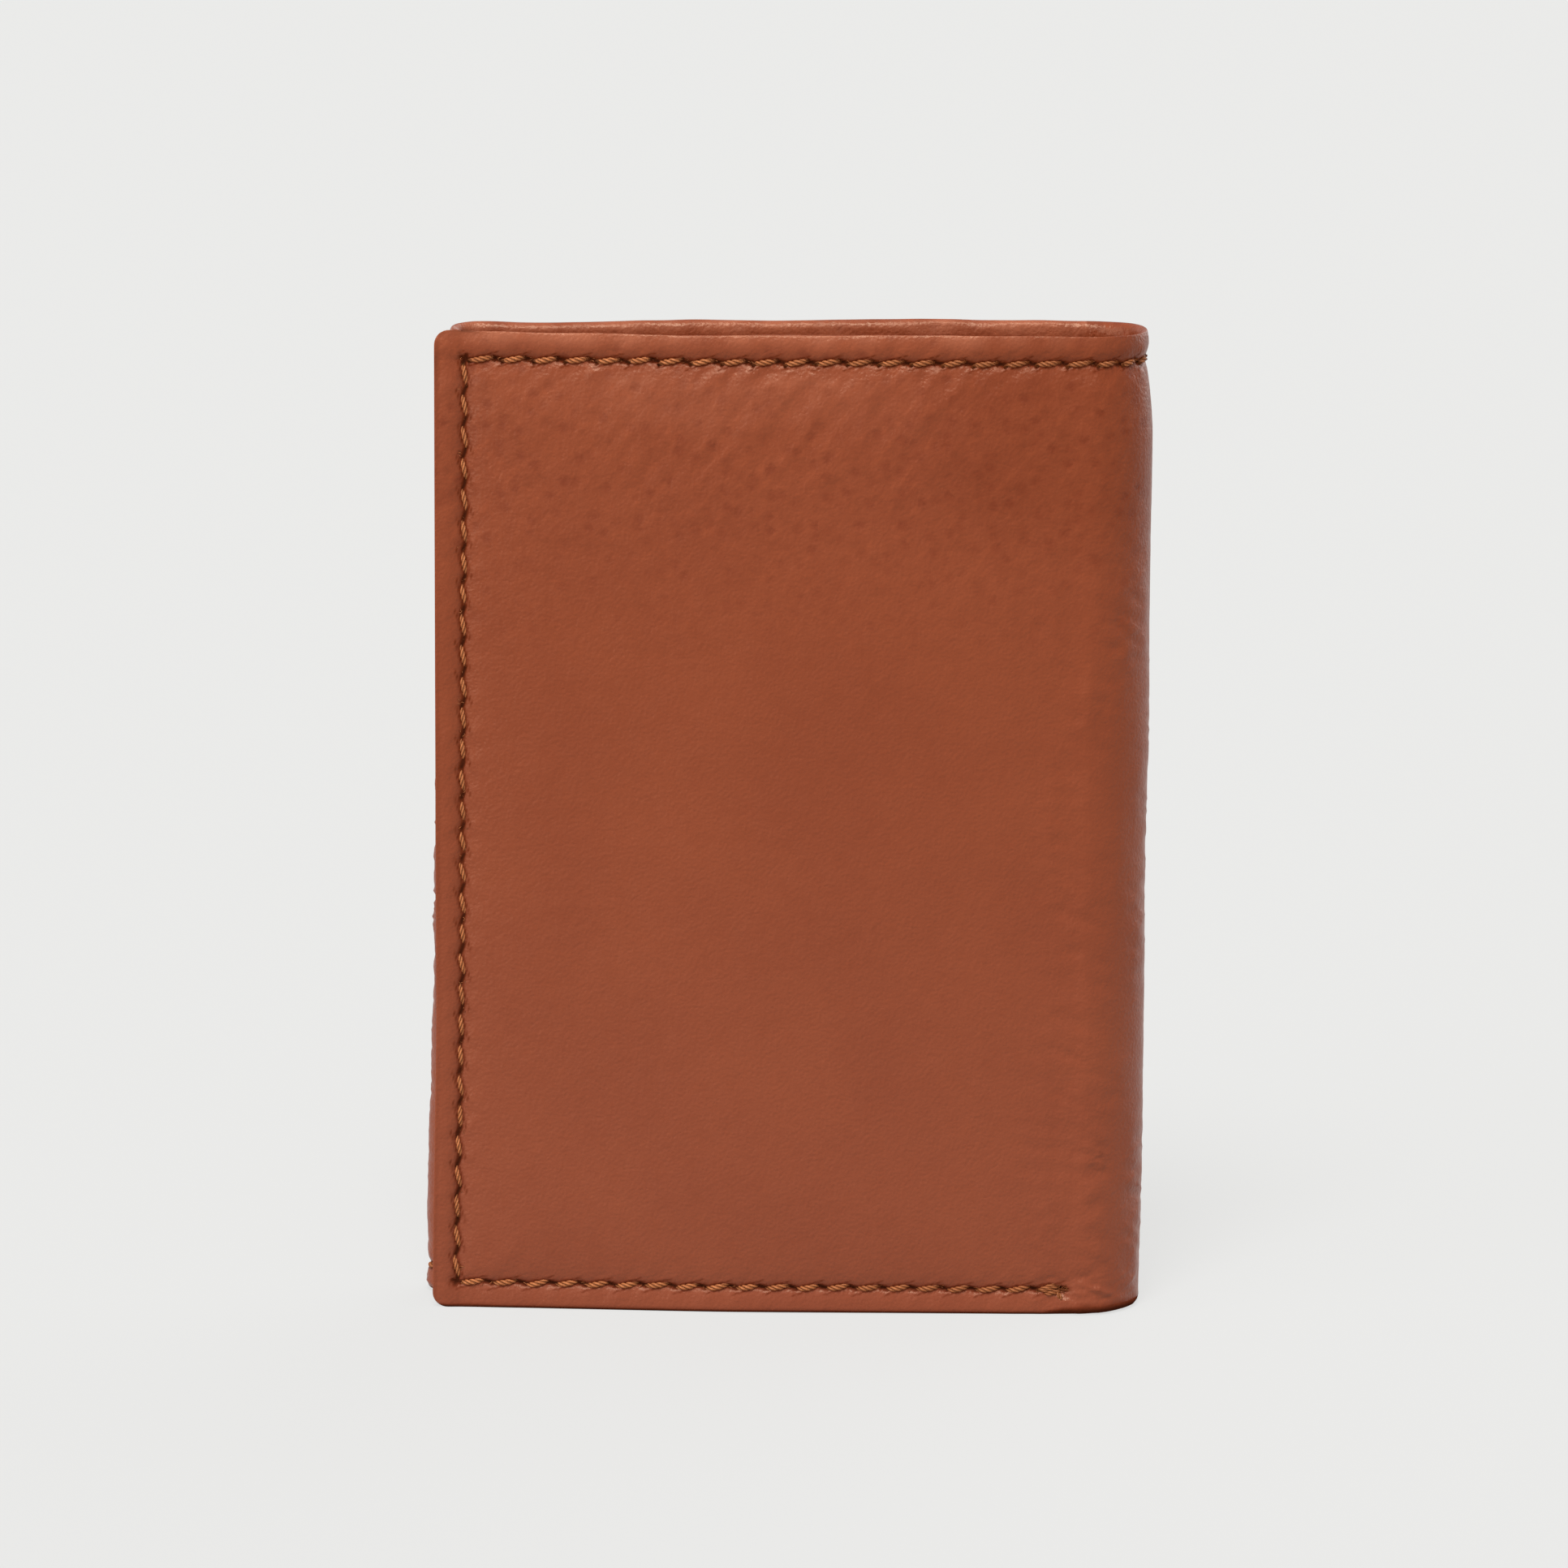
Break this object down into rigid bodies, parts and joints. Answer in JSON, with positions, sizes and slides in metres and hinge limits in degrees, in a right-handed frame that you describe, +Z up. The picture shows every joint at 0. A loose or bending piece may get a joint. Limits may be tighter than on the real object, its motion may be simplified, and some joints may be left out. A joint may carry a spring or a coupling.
{
  "type": "trifold wallet",
  "caption": "Upright three-fold leather wallet with contrast stitching, card pockets, a window pocket and a note compartment.",
  "frame": {"origin": "middle of the bottom edge of the closed wallet, standing upright", "axes": "+Z up along the wallet's height, +X towards the large fold, +Y towards the back of the centre panel"},
  "size_m": [0.0812, 0.0152, 0.113],
  "materials": {
    "outer_leather": "semi-matte cognac grain leather",
    "inner_leather": "thin matte cognac leather",
    "thread": "waxed twisted thread",
    "lining": "fine brown lining cloth",
    "stiffener_board": "plain fibre board",
    "clear_film": "clear soft film"
  },
  "bodies": {
    "centre_panel": {"shell_centre": "outer_leather", "stiffener_centre": "stiffener_board", "lining_centre": "lining", "bill_wall_centre": "inner_leather", "slip_pocket_centre": "inner_leather", "id_window_film": "clear_film", "id_window_frame": "inner_leather", "stitching_centre": "thread"},
    "outer_spine_rear": {"shell_spine_rear": "outer_leather", "lining_spine_rear": "lining", "bill_wall_spine_rear": "inner_leather", "stitching_spine_rear": "thread"},
    "outer_spine_front": {"shell_spine_front": "outer_leather", "lining_spine_front": "lining", "bill_wall_spine_front": "inner_leather", "stitching_spine_front": "thread"},
    "outer_flap": {"shell_outer_flap": "outer_leather", "stiffener_outer_flap": "stiffener_board", "lining_outer_flap": "lining", "bill_wall_outer_flap": "inner_leather", "card_pocket_outer_1": "inner_leather", "card_pocket_outer_2": "inner_leather", "card_pocket_outer_3": "inner_leather", "stitching_outer_flap": "thread"},
    "inner_spine": {"shell_inner_spine": "outer_leather", "lining_inner_spine": "lining", "bill_wall_inner_spine": "inner_leather", "stitching_inner_spine": "thread"},
    "inner_flap": {"shell_inner_flap": "outer_leather", "stiffener_inner_flap": "stiffener_board", "lining_inner_flap": "lining", "bill_wall_inner_flap": "inner_leather", "card_pocket_inner_1": "inner_leather", "card_pocket_inner_2": "inner_leather", "stitching_inner_flap": "thread"}
  },
  "joints": [
    {"name": "outer_fold_rear", "type": "hinge", "parent": "centre_panel", "child": "outer_spine_rear", "pos_m": [0.03675, 0.00649, 0.0565], "axis": [0, 0, 1], "range_deg": [0, 60]},
    {"name": "outer_fold_middle", "type": "hinge", "parent": "outer_spine_rear", "child": "outer_spine_front", "pos_m": [0.0405, 0, 0.0565], "axis": [0, 0, 1], "range_deg": [0, 60]},
    {"name": "outer_fold_front", "type": "hinge", "parent": "outer_spine_front", "child": "outer_flap", "pos_m": [0.03675, -0.00649, 0.0565], "axis": [0, 0, 1], "range_deg": [0, 60]},
    {"name": "inner_fold_rear", "type": "hinge", "parent": "centre_panel", "child": "inner_spine", "pos_m": [-0.03923, 0.00623, 0.0565], "axis": [0, 0, 1], "range_deg": [-40.01, 0]},
    {"name": "inner_fold_front", "type": "hinge", "parent": "inner_spine", "child": "inner_flap", "pos_m": [-0.03923, 0.00007, 0.0565], "axis": [0, 0, 1], "range_deg": [-40.01, 0]}
  ],
  "couplings": [
    {"joint": "outer_fold_middle", "follows": "outer_fold_rear", "ratio": 1},
    {"joint": "outer_fold_front", "follows": "outer_fold_rear", "ratio": 1},
    {"joint": "inner_fold_rear", "follows": "outer_fold_rear", "ratio": -0.66667},
    {"joint": "inner_fold_front", "follows": "outer_fold_rear", "ratio": -0.66667}
  ]
}
